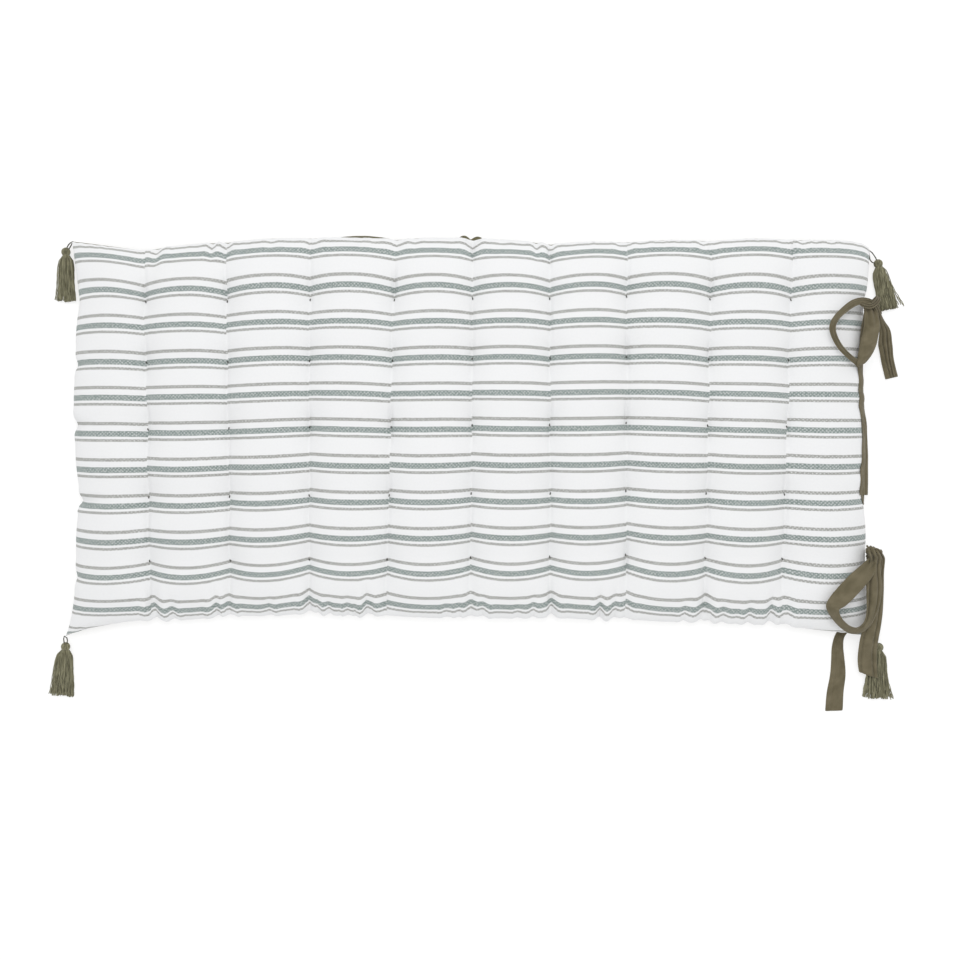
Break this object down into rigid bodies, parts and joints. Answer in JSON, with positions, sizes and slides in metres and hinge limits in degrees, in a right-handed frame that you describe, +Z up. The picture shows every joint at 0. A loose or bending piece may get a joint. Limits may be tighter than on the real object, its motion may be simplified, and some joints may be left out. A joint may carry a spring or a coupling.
{
  "type": "floor mattress",
  "caption": "Long tufted floor mattress of striped cotton with an olive back, a yarn tassel at each corner and ribbon ties at one end to hold it rolled up.",
  "frame": {"origin": "on the floor, in the middle of the outline of the whole object with its tassels and ties", "axes": "+X along the length, towards the end with the ties; +Y across the width; +Z up out of the striped face"},
  "size_m": [1.2953, 0.7215, 0.0729],
  "materials": {
    "striped_cotton": "woven cotton with grey-green and taupe stripes along its length, olive on the back",
    "tassel_yarn": "soft olive cotton yarn",
    "olive_tape": "folded olive cotton tape, plain weave"
  },
  "bodies": {
    "root": {"mattress": "striped_cotton", "tassel_back_left": "tassel_yarn", "tassel_front_left": "tassel_yarn", "tassel_back_right": "tassel_yarn", "tassel_front_right": "tassel_yarn", "tie_back": "olive_tape", "tie_front": "olive_tape"}
  },
  "joints": []
}
